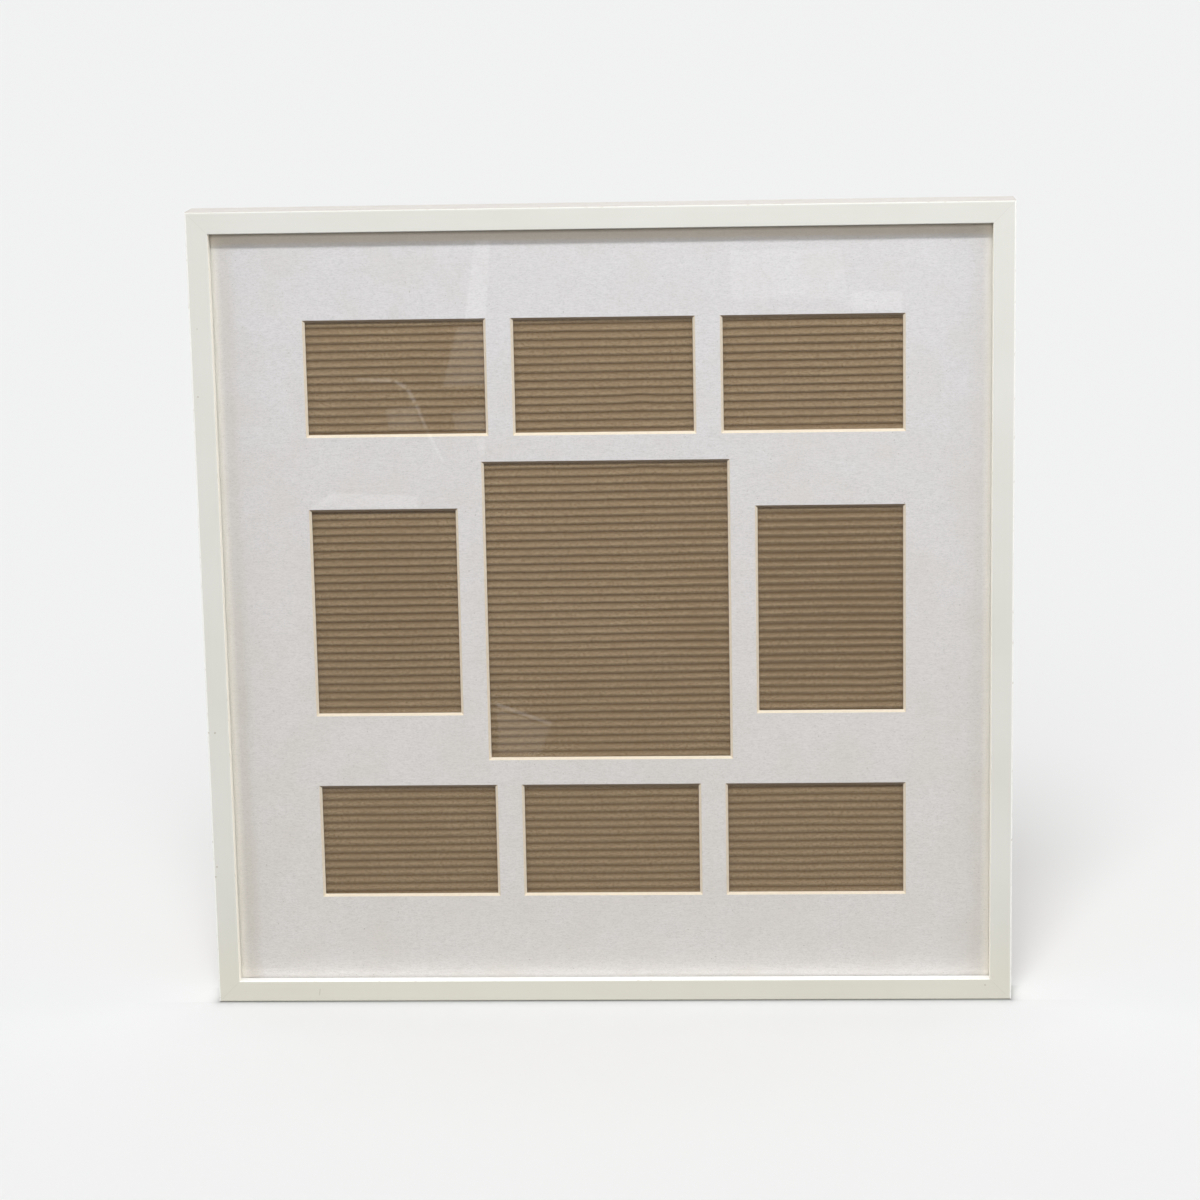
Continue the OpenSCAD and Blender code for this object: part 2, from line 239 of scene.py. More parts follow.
def white_paint(name, grain):
    """Satin paint; grain stretches its faint brush marks along the piece."""
    s = Surface(name)
    cloud = s.noise(0.11, 3.0)
    brush = s.noise(0.0022, 3.0, stretch=grain, roughness=0.6)
    fleck = s.noise(0.0009, 2.0)
    tone = s.steps(cloud, (0.3, 0.0), (0.7, 1.0))
    colour = s.mix(tone, srgb(224, 224, 220), srgb(218, 218, 212))
    colour = s.mix(s.math("MULTIPLY", brush, 0.10), colour, srgb(205, 203, 195))
    aside, _, up = s.parts(s.geometry("Normal"))
    x, _, height = s.parts(s.place)
    # Painted highlight on the upward-facing sill of the bottom length, and the bottom length a
    # little yellower low down in front
    sill_highlight = s.math("MULTIPLY", s.math("GREATER_THAN", up, 0.35), s.math("LESS_THAN", height, 0.1))
    colour = s.mix(sill_highlight, colour, srgb(240, 240, 238))
    low = s.steps(height, (0.020, 1.0), (0.075, 0.0))
    low = s.math("MULTIPLY", low, s.math("SUBTRACT", 1.0, sill_highlight))
    colour = s.mix(s.math("MULTIPLY", low, 0.35), colour, srgb(221, 218, 194))
    # Painted light on the sides of the stiles that face the opening
    lip_wall_light = s.math("MULTIPLY", s.math("MULTIPLY", aside, x), -1.0)
    lip_wall_light = s.math("GREATER_THAN", lip_wall_light, 0.2)
    colour = s.mix(lip_wall_light, colour, srgb(226, 222, 211))
    # Painted highlight on the rounded outer edges
    turned = s.math("ABSOLUTE", aside)
    rim = s.math("GREATER_THAN", turned, 0.15)
    rim = s.math("MULTIPLY", rim, s.math("LESS_THAN", turned, 0.97))
    at_rim_highlight = s.math("GREATER_THAN", s.math("ABSOLUTE", x), OUTER / 2 - RIM_HIGHLIGHT_W)
    colour = s.mix(s.math("MULTIPLY", rim, at_rim_highlight), colour, srgb(243, 243, 241))
    # Rubbed edges, the mitre seams as dark joints with painted shade in their grooves, knocks and
    # the scratch
    patchy = s.steps(s.noise(0.006, 4.0, roughness=0.7), (0.56, 0.0), (0.68, 0.5))
    rubbed = s.math("MULTIPLY", s.attribute("wear"), patchy)
    colour = s.mix(rubbed, colour, srgb(186, 178, 160))
    seam = s.math("MULTIPLY", s.attribute("seam"), 0.30)
    colour = s.mix(seam, colour, srgb(150, 144, 132))
    for centre, radius in KNOCKS:
        knock = s.math("MULTIPLY", s.spot(centre, radius), 0.6)
        colour = s.mix(knock, colour, srgb(168, 160, 143))
    centre, half_width, half_height = SCRATCH
    off = s.node("ShaderNodeVectorMath", {0: s.place, 1: centre}, operation="SUBTRACT").outputs[0]
    across, _, upward = s.parts(off)
    across = s.math("SUBTRACT", across, s.math("MULTIPLY", upward, SCRATCH_SLANT))
    line = s.math("LESS_THAN", s.math("ABSOLUTE", across), half_width)
    line = s.math("MULTIPLY", line, s.math("LESS_THAN", s.math("ABSOLUTE", upward), half_height))
    colour = s.mix(s.math("MULTIPLY", line, 0.45), colour, srgb(150, 145, 130))
    normal = s.bump(brush, 0.00006, 0.5)
    normal = s.bump(fleck, 0.00003, 0.5, normal)
    # Dust lies on the top of the frame and dulls it; its colour is also painted shade that tones
    # down the lit top
    on_top = s.math("GREATER_THAN", up, 0.75)
    on_top = s.math("MULTIPLY", on_top, s.math("GREATER_THAN", height, 0.6))
    dust_and_shade = s.steps(s.noise(0.008, 4.0, roughness=0.7), (0.3, 0.6), (0.7, 0.9))
    colour = s.mix(s.math("MULTIPLY", on_top, dust_and_shade), colour, srgb(202, 195, 190))
    gloss = s.steps(s.noise(0.02, 3.0), (0.3, 0.36), (0.7, 0.46))
    gloss = s.math("ADD", gloss, s.math("MULTIPLY", on_top, 0.5))
    return s.principled(Base_Color=colour, Roughness=gloss, Normal=normal)


# Painted faint reflections in the glass: corners of each in x and z, and its strength
REFLECTION_PATCHES = [
    (((-0.1103, 0.5691), (-0.0910, 0.5688), (-0.0861, 0.6344), (-0.0997, 0.6338)), 0.62),
    (((-0.1295, 0.5151), (-0.0932, 0.5163), (-0.0935, 0.5656), (-0.1160, 0.5659)), 0.50),
    (((-0.1193, 0.4792), (-0.0942, 0.4789), (-0.0936, 0.4993), (-0.1228, 0.4963)), 0.45),
    (((-0.1989, 0.5209), (-0.1682, 0.5197), (-0.1673, 0.5237), (-0.1988, 0.5249)), 1.10),
    (((-0.1587, 0.5131), (-0.1554, 0.5171), (-0.1673, 0.5237), (-0.1682, 0.5197)), 1.20),
    (((-0.1526, 0.5016), (-0.1485, 0.5040), (-0.1554, 0.5171), (-0.1587, 0.5131)), 1.20),
    (((-0.1443, 0.4803), (-0.1402, 0.4819), (-0.1485, 0.5040), (-0.1526, 0.5016)), 1.10),
    (((-0.1314, 0.4531), (-0.1273, 0.4547), (-0.1402, 0.4819), (-0.1443, 0.4803)), 0.60),
    (((-0.1735, 0.4806), (-0.1443, 0.4803), (-0.1510, 0.5016), (-0.1762, 0.4994)), 0.45),
    (((-0.2401, 0.4173), (-0.1504, 0.4163), (-0.1500, 0.4279), (-0.2216, 0.4319)), 0.60),
    (((-0.1004, 0.4585), (-0.0947, 0.4584), (-0.0943, 0.4748), (-0.1040, 0.4749)), 0.60),
    (((0.1045, 0.5831), (0.1992, 0.5818), (0.1930, 0.6248), (0.1026, 0.6230)), 0.40),
    (((0.1960, 0.5754), (0.2420, 0.5700), (0.2420, 0.5892), (0.1992, 0.5897)), 0.60),
    (((-0.0463, 0.2331), (-0.0454, 0.2374), (-0.0918, 0.2555), (-0.0928, 0.2504)), 1.00),
    (((-0.0922, 0.2089), (-0.0567, 0.2086), (-0.0463, 0.2331), (-0.0920, 0.2504)), 0.35),
]
# Share of light that a reflection of strength 1 sends back, and how wide its soft edge is
REFLECTION_SHARE = 0.085
REFLECTION_SOFT = 2 * MM


def inside(s, corners, soft):
    """1 inside a convex outline in x and z, with edges soft metres wide.

    The corners go round against the clock, seen from the front.
    """
    mask = None
    for (x1, z1), (x2, z2) in zip(corners, corners[1:] + corners[:1]):
        length = math.hypot(x2 - x1, z2 - z1)
        across = Vector((z1 - z2, 0, x2 - x1)) / length
        off = across.x * x1 + across.z * z1
        depth = s.node(
            "ShaderNodeVectorMath", {0: s.place, 1: across}, operation="DOT_PRODUCT"
        ).outputs["Value"]
        past = s.math("DIVIDE", s.math("SUBTRACT", depth, off), soft, clamp=True)
        mask = past if mask is None else s.math("MULTIPLY", mask, past)
    return mask


def clear_glass():
    """Clear sheet with a mirror share that grows at a slant, a faint smear and painted reflections
    in front.
    """
    s = Surface("clear_glass")
    slant = s.node("ShaderNodeLayerWeight", {"Blend": 0.5}).outputs["Facing"]
    mirror = s.math("ADD", s.math("MULTIPLY", s.math("POWER", slant, 5.0), 0.90), 0.013)
    gloss = s.node("ShaderNodeBsdfGlossy", {"Color": (1, 1, 1, 1), "Roughness": 0.02}).outputs[0]
    clear = s.node("ShaderNodeBsdfTransparent", {"Color": (0.985, 0.99, 0.985, 1)}).outputs[0]
    body = s.node("ShaderNodeMixShader", {0: mirror, 1: clear, 2: gloss}).outputs[0]
    smear = s.noise(0.03, 3.0, stretch=(0.35, 1, 1.3), roughness=0.6, shift=3.0)
    # film holds a faint smear and the painted reflections
    film = s.steps(smear, (0.5, 0.0), (0.75, 0.006))
    for corners, strength in REFLECTION_PATCHES:
        patch = inside(s, corners, REFLECTION_SOFT)
        film = s.math("ADD", film, s.math("MULTIPLY", patch, REFLECTION_SHARE * strength))
    shine = s.mix(film, (0, 0, 0, 1), (0.98, 0.98, 1, 1))
    bright = s.node("ShaderNodeBsdfGlossy", {"Color": shine, "Roughness": 0.02}).outputs[0]
    with_reflections = s.node("ShaderNodeAddShader", {0: body, 1: bright}).outputs[0]
    # The painted reflections are added on the front face alone, for rays that come from outside
    faces = s.parts(s.geometry("Normal"))[1]
    outside = s.math("SUBTRACT", 1.0, s.geometry("Backfacing"))
    front = s.math("MULTIPLY", s.math("LESS_THAN", faces, -0.5), outside)
    return s.finish(s.node("ShaderNodeMixShader", {0: front, 1: body, 2: with_reflections}).outputs[0])


def mat_paper():
    """Off-white facing paper: felt texture, a few specks, yellower low down, painted light and
    shade at the lip.
    """
    s = Surface("mat_paper")
    felt = s.noise(0.0012, 4.0, stretch=(0.3, 1, 1), roughness=0.7)
    fibre = s.noise(0.0009, 3.0, stretch=(0.5, 1, 1), roughness=0.65)
    blotch = s.noise(0.035, 3.0)
    tone = s.steps(felt, (0.34, 0.0), (0.66, 1.0))
    colour = s.mix(tone, srgb(212, 209, 212), srgb(229, 226, 230))
    colour = s.mix(s.steps(fibre, (0.38, 0.0), (0.62, 0.6)), colour, srgb(236, 233, 237))
    colour = s.mix(s.steps(blotch, (0.4, 0.0), (0.75, 0.35)), colour, srgb(218, 213, 210))
    specks = s.steps(s.noise(0.0016, 0.0, shift=7.0), (0.80, 0.0), (0.84, 0.5))
    colour = s.mix(specks, colour, srgb(150, 145, 136))
    x, _, z = s.parts(s.place)
    below = s.steps(z, (0.12, 1.0), (0.60, 0.0))
    colour = s.mix(below, colour, (1.0, 0.985, 0.95, 1), blend="MULTIPLY")
    # Along the stiles: painted light right at the lip and a painted shadow band a little further in
    beside = s.math("SUBTRACT", LIP_X, s.math("ABSOLUTE", x))
    near = s.steps(beside, (0.0025, 0.7), (0.005, 0.0))
    colour = s.mix(near, colour, srgb(251, 245, 234))
    lip_shadow_band = s.steps(beside, (0.003, 0.0), (0.006, 1.0), (0.012, 1.0), (0.020, 0.0))
    lip_shadow_band = s.math("MULTIPLY", lip_shadow_band, s.steps(z, (0.20, 0.26), (0.45, 0.18)))
    lip_shadow_band = s.math("MULTIPLY", lip_shadow_band, s.steps(s.math("ADD", x, 0.5), (0.4, 1.0), (0.6, 0.55)))
    colour = s.mix(lip_shadow_band, colour, srgb(190, 181, 167))
    # Under the top length: painted light in the lip's shadow, with a painted dark shadow line right
    # at the lip
    under = s.math("SUBTRACT", LIP_TOP_Z, z)
    above = s.steps(under, (0.007, 0.6), (0.011, 0.0))
    colour = s.mix(above, colour, srgb(255, 243, 229))
    edge = s.steps(under, (0.0018, 0.8), (0.0034, 0.0))
    colour = s.mix(edge, colour, srgb(112, 88, 60))
    normal = s.bump(felt, 0.00012, 0.6)
    normal = s.bump(fibre, 0.00005, 0.6, normal)
    return s.principled(Base_Color=colour, Roughness=0.85, Specular_IOR_Level=0.25, Normal=normal)


def mat_core():
    """Cream core of the mat, cut through at each bevel; bevels that face down get painted shade."""
    s = Surface("mat_core")
    cut = s.noise(0.0008, 3.0, stretch=(0.3, 1, 0.3))
    colour = s.mix(s.steps(cut, (0.3, 0.0), (0.7, 1.0)), srgb(233, 218, 200), srgb(242, 229, 212))
    # Painted shade on the bevels that face down
    down = s.math("MULTIPLY", s.parts(s.geometry("Normal"))[2], -1.0)
    painted_bevel_shade = s.steps(down, (0.3, 0.0), (0.5, 0.75))
    colour = s.mix(painted_bevel_shade, colour, srgb(120, 94, 62))
    normal = s.bump(cut, 0.00004, 0.5)
    return s.principled(Base_Color=colour, Roughness=0.8, Specular_IOR_Level=0.25, Normal=normal)


def kraft_board():
    """Brown kraft paper drawn over ribs: flecked fibres, painted shade in the valleys, duller in
    places.
    """
    s = Surface("kraft_board")
    fibre = s.noise(0.0013, 3.0, stretch=(0.5, 1, 1), roughness=0.7)
    fleck = s.noise(0.0012, 2.0, stretch=(0.6, 1, 1), shift=5.0)
    blotch = s.noise(0.03, 4.0, stretch=(0.6, 1, 1.2))
    tone = s.steps(fibre, (0.36, 0.0), (0.64, 1.0))
    colour = s.mix(tone, srgb(137, 114, 86), srgb(168, 146, 116))
    colour = s.mix(s.steps(blotch, (0.35, 0.0), (0.7, 0.4)), colour, srgb(147, 123, 94))
    colour = s.mix(s.steps(fleck, (0.58, 0.0), (0.70, 0.3)), colour, srgb(98, 77, 50))
    x, _, z = s.parts(s.place)
    # Duller at both sides at middle height, and low down
    aside = s.math("SUBTRACT", s.math("ABSOLUTE", x), 0.11)
    aside = s.math("DIVIDE", aside, 0.03, clamp=True)
    level = s.math("ABSOLUTE", s.math("SUBTRACT", z, MID_Z))
    level = s.math("SUBTRACT", 1.0, s.math("DIVIDE", level, 0.11))
    dull = s.math("MULTIPLY", aside, s.math("MULTIPLY", level, 2.0, clamp=True))
    dull = s.math("MAXIMUM", dull, s.steps(z, (0.24, 0.7), (0.32, 0.35)))
    colour = s.mix(s.math("MULTIPLY", dull, 0.16), colour, srgb(98, 76, 46))
    # Painted shade in the valleys between the ribs
    valley = s.math("MULTIPLY", s.attribute("valley"), 0.86)
    colour = s.mix(valley, colour, srgb(82, 52, 4))
    normal = s.bump(fibre, 0.00013, 0.8)
    return s.principled(Base_Color=colour, Roughness=0.8, Specular_IOR_Level=0.3, Normal=normal)


SCREEN_PITCH = 1.6 * MM


def hardboard():
    """Brown hardboard: pressed fibres, a fine screen pattern, clouds, scuffs and dark specks."""
    s = Surface("hardboard")
    fibre = s.noise(0.0024, 5.0, roughness=0.75)
    cloud = s.noise(0.09, 5.0, roughness=0.6)
    streak = s.noise(0.03, 4.0, stretch=(0.12, 1, 1), roughness=0.6, shift=4.0)
    scuff = s.noise(0.012, 4.0, stretch=(0.2, 1, 1.6), roughness=0.7, shift=2.0)
    speck = s.noise(0.004, 1.0, shift=9.0)
    colour = s.mix(s.steps(fibre, (0.32, 0.0), (0.68, 1.0)), srgb(122, 88, 58), srgb(166, 128, 92))
    colour = s.mix(s.steps(cloud, (0.35, 0.0), (0.65, 0.55)), colour, srgb(128, 94, 66))
    colour = s.mix(s.steps(streak, (0.5, 0.0), (0.72, 0.35)), colour, srgb(172, 136, 100))
    colour = s.mix(s.steps(scuff, (0.60, 0.0), (0.74, 0.4)), colour, srgb(192, 160, 124))
    colour = s.mix(s.steps(speck, (0.72, 0.0), (0.76, 0.6)), colour, srgb(84, 58, 38))
    x, _, z = s.parts(s.place)
    screen = None
    for along in (x, z):
        wave = s.math("SINE", s.math("MULTIPLY", along, 2 * math.pi / SCREEN_PITCH))
        screen = wave if screen is None else s.math("MULTIPLY", screen, wave)
    normal = s.bump(fibre, 0.00018, 0.6)
    normal = s.bump(screen, 0.00005, 0.5, normal)
    return s.principled(Base_Color=colour, Roughness=0.6, Normal=normal)


def spacer_wood(name, grain):
    """Planed pale softwood, its grain along the strip."""
    s = Surface(name)
    line = s.noise(0.0016, 3.0, stretch=grain, roughness=0.6)
    tone = s.noise(0.03, 3.0, stretch=grain)
    colour = s.mix(s.steps(line, (0.3, 0.0), (0.65, 1.0)), srgb(205, 172, 124), srgb(226, 198, 152))
    colour = s.mix(s.steps(tone, (0.4, 0.0), (0.7, 0.5)), colour, srgb(196, 160, 112))
    normal = s.bump(line, 0.0001, 0.5)
    return s.principled(Base_Color=colour, Roughness=0.6, Normal=normal)


def steel(name, light, dark, roughness):
    """Plated steel with fine handling marks and a duller film in places."""
    s = Surface(name)
    marks = s.noise(0.0009, 3.0, stretch=(1, 1, 0.3), roughness=0.6)
    film = s.noise(0.0035, 4.0, roughness=0.6, shift=1.0)
    colour = s.mix(s.steps(film, (0.35, 0.0), (0.7, 1.0)), light, dark)
    gloss = s.steps(film, (0.3, roughness), (0.75, roughness + 0.2))
    normal = s.bump(marks, 0.00003, 0.6)
    return s.principled(Base_Color=colour, Metallic=1.0, Roughness=gloss, Normal=normal)


def rubber():
    """Soft grey bumper with a dusty bloom."""
    s = Surface("bumper_rubber")
    bloom = s.noise(0.002, 4.0, roughness=0.65)
    colour = s.mix(s.steps(bloom, (0.4, 0.0), (0.7, 0.6)), srgb(84, 84, 82), srgb(118, 116, 110))
    return s.principled(Base_Color=colour, Roughness=0.62, Normal=s.bump(bloom, 0.00005, 0.5))


PAINT_ACROSS = white_paint("paint_across", (0.06, 1, 1))
PAINT_UPRIGHT = white_paint("paint_upright", (1, 1, 0.06))
GLASS = clear_glass()
PAPER = mat_paper()
CORE = mat_core()
KRAFT = kraft_board()
BOARD = hardboard()
WOOD_ACROSS = spacer_wood("spacer_across", (0.05, 1, 1))
WOOD_UPRIGHT = spacer_wood("spacer_upright", (1, 1, 0.05))
NAIL_STEEL = steel("nail_steel", srgb(150, 148, 144), srgb(112, 106, 98), 0.38)
BUTTON_STEEL = steel("button_steel", srgb(196, 196, 192), srgb(160, 158, 150), 0.28)
SCREW_STEEL = steel("screw_steel", srgb(206, 205, 198), srgb(170, 166, 154), 0.24)
HANGER_STEEL = steel("hanger_steel", srgb(200, 200, 198), srgb(164, 162, 156), 0.26)
RUBBER = rubber()


# ---- Mesh helpers ----


def skin(made, rings):
    """Joins closed rings of points one to the next and closes both ends."""
    for here, there in zip(rings, rings[1:]):
        for a in range(len(here)):
            b = (a + 1) % len(here)
            made.faces.new((here[a], here[b], there[b], there[a]))
    made.faces.new(rings[0])
    made.faces.new(rings[-1])


def make_piece(name, mesh_in_progress, body, materials, replaces=(), smooth=True):
    """Turns a bmesh into a named piece that rides on a body and stands for CAD nodes."""
    bmesh.ops.recalc_face_normals(mesh_in_progress, faces=mesh_in_progress.faces)
    mesh = bpy.data.meshes.new(name)
    mesh_in_progress.to_mesh(mesh)
    mesh_in_progress.free()
    for material in materials:
        mesh.materials.append(material)
    if smooth:
        mesh.shade_smooth()
        mesh.set_sharp_from_angle(angle=math.radians(32))
    piece = bpy.data.objects.new(name, mesh)
    scene.collection.objects.link(piece)
    if smooth:
        piece.modifiers.new("flat_faces_stay_flat", "WEIGHTED_NORMAL").keep_sharp = True
    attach(piece, body)
    if replaces:
        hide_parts(*replaces)
    return piece


def dress(nodes, material):
    """Gives CAD nodes that stay a better material."""
    for node in nodes:
        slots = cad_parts[node].material_slots
        for material_slot in slots:
            material_slot.material = material


def soften(node, width):
    """Eases the sharp edges of a CAD node that stays."""
    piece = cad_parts[node]
    weld = piece.modifiers.new("weld", "WELD")
    weld.merge_threshold = 0.005 * MM
    bevel = piece.modifiers.new("ease", "BEVEL")
    bevel.width = width
    bevel.segments = 2
    bevel.limit_method = "ANGLE"
    bevel.angle_limit = math.radians(40)
    bevel.harden_normals = True


# ---- Moulding ----

# The four lengths: node, material, and the place of a point that lies `along` the length and
# `inward` from the outer edge
RAILS = {
    "bottom_rail": (PAINT_ACROSS, lambda along, y, inward: (along, y, outer_low.z + inward)),
    "top_rail": (PAINT_ACROSS, lambda along, y, inward: (along, y, outer_high.z - inward)),
    "left_stile": (
        PAINT_UPRIGHT,
        lambda along, y, inward: (outer_low.x + inward, y, MID_Z + along),
    ),
    "right_stile": (
        PAINT_UPRIGHT,
        lambda along, y, inward: (outer_high.x - inward, y, MID_Z + along),
    ),
}
SEAM_W = 0.25 * MM
SEAM_DEPTH = 0.07 * MM
BACK_SUNK = 0.05 * MM
BACK_EASE = 0.3 * MM
# Spacing of the extra rows of points on the outer side, which keep its shading even
SIDE_STEP = 8 * MM
# Parts that each length is divided into between its middle and one end
HALF_PARTS = 12


def moulding_outline():
    """Section of a length as (inward, y, wear), from the outer back edge round to the pocket."""
    back, ease = Y_BACK - BACK_SUNK, BACK_EASE
    outline = [(ease, back, 0.6), (0, back - ease, 0.6)]
    outline += [(0, Y_FRONT + SIDE_STEP * k, 0.1) for k in (3, 2, 1)]
    turn = [math.radians(a) for a in range(0, 91, 15)]
    for angle in turn:
        inward = OUTER_ARRIS_R * (1 - math.cos(angle))
        y = Y_FRONT + OUTER_ARRIS_R * (1 - math.sin(angle))
        outline.append((inward, y, math.sin(2 * angle)))
    for angle in reversed(turn):
        inward = FACE_W - ARRIS_R * (1 - math.cos(angle))
        y = Y_FRONT + ARRIS_R * (1 - math.sin(angle))
        outline.append((inward, y, math.sin(2 * angle)))
    outline += [
        (FACE_W, glass_low.y, 0.0),
        (WALL_W, glass_low.y, 0.0),
        (WALL_W, back - ease, 0.3),
        (WALL_W - ease, back, 0.3),
    ]
    return outline


def moulding_stations():
    """Where the rings of a length stand, -1 to 1, and whether each lies in the seam's groove."""
    between = [(i / HALF_PARTS, False) for i in range(1 - HALF_PARTS, HALF_PARTS)]
    return [(-1.0, True), (-1.0, False), *between, (1.0, False), (1.0, True)]


def moulding(node):
    """One mitred length with eased edges and a fine V-groove where it meets its neighbours."""
    material, place = RAILS[node]
    outline = moulding_outline()
    made = bmesh.new()
    wear = made.verts.layers.float.new("wear")
    seam = made.verts.layers.float.new("seam")
    middle = (WALL_W / 2, (Y_FRONT + Y_BACK) / 2)
    rings = []
    for station, at_seam in moulding_stations():
        ring = []
        for inward, y, rubbed in outline:
            if at_seam:
                inward += math.copysign(SEAM_DEPTH, middle[0] - inward)
                y += math.copysign(SEAM_DEPTH, middle[1] - y)
            half = OUTER / 2 - inward
            if abs(station) == 1 and not at_seam:
                half -= SEAM_W
            vert = made.verts.new(place(station * half, y, inward))
            vert[wear] = rubbed
            vert[seam] = 1.0 if at_seam else 0.0
            ring.append(vert)
        rings.append(ring)
    skin(made, rings)
    return make_piece(f"{node}_painted", made, "frame", [material], [node])


for rail in RAILS:
    moulding(rail)


# ---- Glass ----


def eased_slab(low, high, ease):
    """A flat sheet whose rim is ground to a small chamfer on both sides."""
    made = bmesh.new()
    rings = []
    for y, inset in ((low.y, ease), (low.y + ease, 0), (high.y - ease, 0), (high.y, ease)):
        rings.append(
            [
                made.verts.new((x, y, z))
                for x, z in (
                    (low.x + inset, low.z + inset),
                    (high.x - inset, low.z + inset),
                    (high.x - inset, high.z - inset),
                    (low.x + inset, high.z - inset),
                )
            ]
        )
    skin(made, rings)
    return made


GLASS_EASE = 0.25 * MM
pane = eased_slab(glass_low, glass_high, GLASS_EASE)
make_piece(
    "glass_pane", pane, "frame", [GLASS], ["glazing_sheet"], smooth=False
)


# ---- Window mat ----


def cuts(axis, half_sheet, shift):
    """Cut lines of the mat along one axis, outer edges included, each as (front, back)."""
    bevel = mat_high.y - mat_low.y
    lines = set()
    for window in WINDOWS:
        middle, half = shift + window[axis], window[axis + 2] / 2
        lines.add((middle - half - bevel, middle - half))
        lines.add((middle + half + bevel, middle + half))
    return [(-half_sheet, -half_sheet), *sorted(lines), (half_sheet, half_sheet)]


def window_mat():
    """The mat as a grid of cells between the cut lines, its windows left open."""
    made = bmesh.new()
    mid_x, mid_z = (mat_low.x + mat_high.x) / 2, (mat_low.z + mat_high.z) / 2
    across = cuts(0, (mat_high.x - mat_low.x) / 2, WINDOW_SHIFT)
    upward = cuts(1, (mat_high.z - mat_low.z) / 2, 0)
    layers = []
    for side, y in ((0, mat_low.y), (1, mat_high.y)):
        layers.append(
            [
                [made.verts.new((mid_x + x[side], y, mid_z + z[side])) for z in upward]
                for x in across
            ]
        )

    def open_at(i, j):
        if not (0 <= i < len(across) - 1 and 0 <= j < len(upward) - 1):
            return True
        x = (across[i][1] + across[i + 1][1]) / 2 - WINDOW_SHIFT
        z = (upward[j][1] + upward[j + 1][1]) / 2
        return any(abs(x - w[0]) < w[2] / 2 and abs(z - w[1]) < w[3] / 2 for w in WINDOWS)

    for i in range(len(across) - 1):
        for j in range(len(upward) - 1):
            if open_at(i, j):
                continue
            corners = ((i, j), (i + 1, j), (i + 1, j + 1), (i, j + 1))
            for layer in layers:
                made.faces.new([layer[a][b] for a, b in corners])
            beside = ((i, j - 1), (i + 1, j), (i, j + 1), (i - 1, j))
            for (a, b), (c, d), neighbour in zip(corners, corners[1:] + corners[:1], beside):
                if open_at(*neighbour):
                    wall = made.faces.new(
                        (layers[0][a][b], layers[0][c][d], layers[1][c][d], layers[1][a][b])
                    )
                    wall.material_index = 1
    return make_piece(
        "mat_with_windows", made, "frame", [PAPER, CORE], ["window_mat"], smooth=False
    )


window_mat()


# ---- Corrugated board ----

COLUMNS = 110
# How far the valleys lie behind the front of the solid, the height of the tallest rib, and the
# strip at the top and bottom edges that has no ribs
VALLEY_DEPTH = 2.25 * MM
TALLEST_RIB = 1.3 * MM
END_FLAT = 2.5 * MM
# Rows of points across a rib: 0 and 1 are the valleys, 0.5 the crest
RIB_ROWS = (0, 0.12, 0.25, 0.36, 0.44, 0.5, 0.55, 0.62, 0.72, 0.82, 0.91)
# Dents where the flutes were pressed out of line: x, z, reach, and how far the ribs are pushed up
DENTS = [
    (0.031, 0.503, 0.010, 0.9 * MM),
    (0.034, 0.448, 0.012, 0.8 * MM),
    (0.215, 0.270, 0.014, -0.8 * MM),
    (-0.150, 0.540, 0.012, 0.5 * MM),
]


def rib_shift(x, z):
    """How far the ribs stray from straight lines at a place, in metres."""
    stray = 0.38 * MM * noise.noise(Vector((x * 14, 3.1, z * 30)))
    stray += 0.20 * MM * noise.noise(Vector((x * 60, 8.7, z * 140)))
    for dent_x, dent_z, reach, push in DENTS:
        stray += push * math.exp(-((x - dent_x) ** 2 + (z - dent_z) ** 2) / reach**2)
    return stray


def share(value):
    """The value, kept between 0 and 1."""
    return min(1.0, max(0.0, value))


def rib_form(x, z):
    """How slim the crest of a rib is at a place and how flat the rib is pressed, each 0 to 1."""
    slim = 1 / (1 + math.exp(-(x - 0.045) / 0.022)) * math.exp(-(((z - 0.355) / 0.11) ** 4))
    slim += 0.25 * noise.noise(Vector((x * 9, 1.3, z * 22)))
    pressed = (0.31 - z) / 0.12 + 0.3 * noise.noise(Vector((x * 12, 9.1, z * 12)))
    return share(slim), share(pressed)


def rib_point(x, z, turn):
    """A point of a rib: its place along the pitch, its height and how tall the rib is there.

    Turn is 0 and 1 in the valleys and 0.5 on the crest.
    """
    slim, pressed = rib_form(x, z)
    crest = 0.33 + 0.13 * slim + 0.09 * pressed * (1 - slim)
    power = 1.19 - 0.38 * slim
    along = 2 * turn * crest if turn < 0.5 else crest + (2 * turn - 1) * (1 - crest)
    height = 1 - (((2 * turn - 1) ** 2 + 0.004) / 1.004) ** (power / 2)
    proud = share((z - 0.46) / 0.03) * share((x - 0.05) / 0.05)
    tall = 1.14 + 0.10 * slim - 0.25 * pressed + 0.14 * proud
    crushed = 0.10 * noise.noise(Vector((x * 18, 6.6, z * 40)))
    return along, 0.09 + 0.91 * height, tall * (0.95 - crushed)


